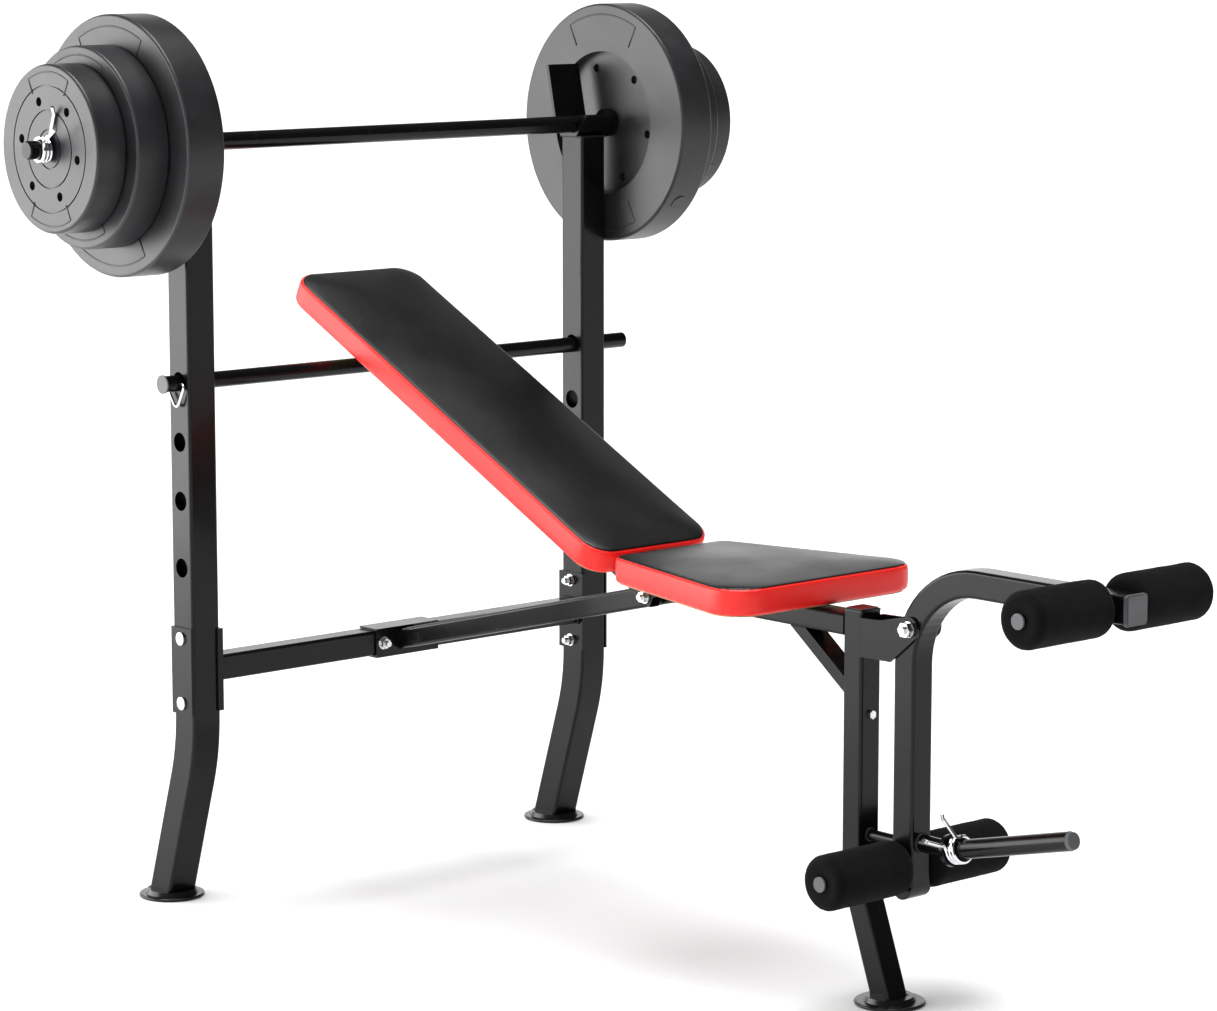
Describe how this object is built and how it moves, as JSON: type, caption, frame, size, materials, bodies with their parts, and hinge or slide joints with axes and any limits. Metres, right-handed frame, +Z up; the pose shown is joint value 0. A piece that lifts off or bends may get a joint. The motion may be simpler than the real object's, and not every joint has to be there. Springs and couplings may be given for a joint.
{
  "type": "adjustable weight bench",
  "caption": "Weight bench with bar uprights, adjustable incline backrest, loaded barbell, leg developer with foam rollers and a weight peg.",
  "frame": {"origin": "on the floor, below the middle of the whole object's box", "axes": "+X from the uprights to the leg developer, +Y across the bench, +Z up"},
  "size_m": [1.5215, 1.181, 1.2108],
  "materials": {
    "powder_coat": "gloss black powder coat",
    "zinc": "bright zinc plate",
    "chrome_wire": "bright chrome wire",
    "plate_shell": "satin black vinyl shell",
    "foam": "matt black foam",
    "grey_plastic": "grey moulded plastic",
    "black_plastic": "gloss black plastic",
    "pad_vinyl": "red sided black topped vinyl",
    "plywood": "plain plywood"
  },
  "bodies": {
    "frame": {"left_upright": "powder_coat", "right_upright": "powder_coat", "left_bar_catch": "powder_coat", "right_bar_catch": "powder_coat", "left_rear_foot": "black_plastic", "right_rear_foot": "black_plastic", "crossbeam": "powder_coat", "left_beam_bracket": "powder_coat", "right_beam_bracket": "powder_coat", "left_outer_plate": "powder_coat", "right_outer_plate": "powder_coat", "upright_bolts": "zinc", "upright_nuts": "zinc", "centre_bracket": "powder_coat", "centre_bolts": "zinc", "main_beam": "powder_coat", "front_post": "powder_coat", "post_cap": "black_plastic", "front_foot": "black_plastic", "beam_brace": "powder_coat", "pivot_yoke": "powder_coat", "pivot_bolt": "zinc", "post_bolt": "zinc", "developer_stop": "powder_coat", "seat_plate": "powder_coat", "seat_board": "plywood", "seat_pad": "pad_vinyl", "seat_screws": "zinc", "hinge_bolt": "zinc"},
    "backrest": {"left_back_rail": "powder_coat", "right_back_rail": "powder_coat", "backrest_board": "plywood", "backrest_pad": "pad_vinyl", "backrest_screws": "zinc"},
    "crossbar": {"crossbar": "powder_coat", "crossbar_cap": "grey_plastic"},
    "hitch_clip": {"hitch_clip": "chrome_wire"},
    "barbell": {"barbell_bar": "powder_coat", "bar_collars": "powder_coat"},
    "left_small_plate": {"left_small_plate": "plate_shell"},
    "left_medium_plate": {"left_medium_plate": "plate_shell"},
    "left_large_plate": {"left_large_plate": "plate_shell"},
    "right_small_plate": {"right_small_plate": "plate_shell"},
    "right_medium_plate": {"right_medium_plate": "plate_shell"},
    "right_large_plate": {"right_large_plate": "plate_shell"},
    "left_spring_collar": {"left_spring_collar": "chrome_wire"},
    "right_spring_collar": {"right_spring_collar": "chrome_wire"},
    "leg_developer": {"developer_tube": "powder_coat", "developer_cap": "grey_plastic", "pivot_sleeve": "zinc", "upper_roller_rod": "powder_coat", "lower_roller_rod": "powder_coat", "roller_rod_caps": "grey_plastic", "weight_peg": "powder_coat", "peg_cap": "grey_plastic"},
    "peg_spring_collar": {"peg_spring_collar": "chrome_wire"},
    "upper_left_roller": {"upper_left_roller": "foam"},
    "upper_right_roller": {"upper_right_roller": "foam"},
    "lower_left_roller": {"lower_left_roller": "foam"},
    "lower_right_roller": {"lower_right_roller": "foam"}
  },
  "joints": [
    {"name": "backrest_lift", "type": "hinge", "parent": "frame", "child": "backrest", "pos_m": [-0.03725, 0.0205, 0.46352], "axis": [0, 1, 0], "range_deg": [0, 8]},
    {"name": "developer_swing", "type": "hinge", "parent": "frame", "child": "leg_developer", "pos_m": [0.41775, 0.0205, 0.481], "axis": [0, -1, 0], "range_deg": [0, 90]},
    {"name": "crossbar_pull", "type": "slide", "parent": "frame", "child": "crossbar", "axis": [0, -1, 0], "range_m": [0, 0.82]},
    {"name": "clip_pull", "type": "slide", "parent": "crossbar", "child": "hitch_clip", "axis": [1, 0, 0], "range_m": [0, 0.045]},
    {"name": "barbell_lift", "type": "slide", "parent": "frame", "child": "barbell", "axis": [0, 0, 1], "range_m": [0, 0.25]},
    {"name": "left_collar_slide", "type": "slide", "parent": "barbell", "child": "left_spring_collar", "axis": [0, -1, 0], "range_m": [0, 0.06]},
    {"name": "right_collar_slide", "type": "slide", "parent": "barbell", "child": "right_spring_collar", "axis": [0, 1, 0], "range_m": [0, 0.06]},
    {"name": "peg_collar_slide", "type": "slide", "parent": "leg_developer", "child": "peg_spring_collar", "axis": [0.9724, 0, 0.2334], "range_m": [0, 0.22]},
    {"name": "left_small_plate_spin", "type": "hinge", "parent": "barbell", "child": "left_small_plate", "pos_m": [-0.58925, 0.0205, 1.0393], "axis": [0, 1, 0], "continuous": true},
    {"name": "left_medium_plate_spin", "type": "hinge", "parent": "barbell", "child": "left_medium_plate", "pos_m": [-0.58925, 0.0205, 1.0393], "axis": [0, 1, 0], "continuous": true},
    {"name": "left_large_plate_spin", "type": "hinge", "parent": "barbell", "child": "left_large_plate", "pos_m": [-0.58925, 0.0205, 1.0393], "axis": [0, 1, 0], "continuous": true},
    {"name": "right_small_plate_spin", "type": "hinge", "parent": "barbell", "child": "right_small_plate", "pos_m": [-0.58925, 0.0205, 1.0393], "axis": [0, 1, 0], "continuous": true},
    {"name": "right_medium_plate_spin", "type": "hinge", "parent": "barbell", "child": "right_medium_plate", "pos_m": [-0.58925, 0.0205, 1.0393], "axis": [0, 1, 0], "continuous": true},
    {"name": "right_large_plate_spin", "type": "hinge", "parent": "barbell", "child": "right_large_plate", "pos_m": [-0.58925, 0.0205, 1.0393], "axis": [0, 1, 0], "continuous": true},
    {"name": "upper_left_roller_spin", "type": "hinge", "parent": "leg_developer", "child": "upper_left_roller", "pos_m": [0.71675, 0.0205, 0.548], "axis": [0, 1, 0], "continuous": true},
    {"name": "upper_right_roller_spin", "type": "hinge", "parent": "leg_developer", "child": "upper_right_roller", "pos_m": [0.71675, 0.0205, 0.548], "axis": [0, 1, 0], "continuous": true},
    {"name": "lower_left_roller_spin", "type": "hinge", "parent": "leg_developer", "child": "lower_left_roller", "pos_m": [0.40375, 0.0205, 0.183], "axis": [0, 1, 0], "continuous": true},
    {"name": "lower_right_roller_spin", "type": "hinge", "parent": "leg_developer", "child": "lower_right_roller", "pos_m": [0.40375, 0.0205, 0.183], "axis": [0, 1, 0], "continuous": true}
  ]
}
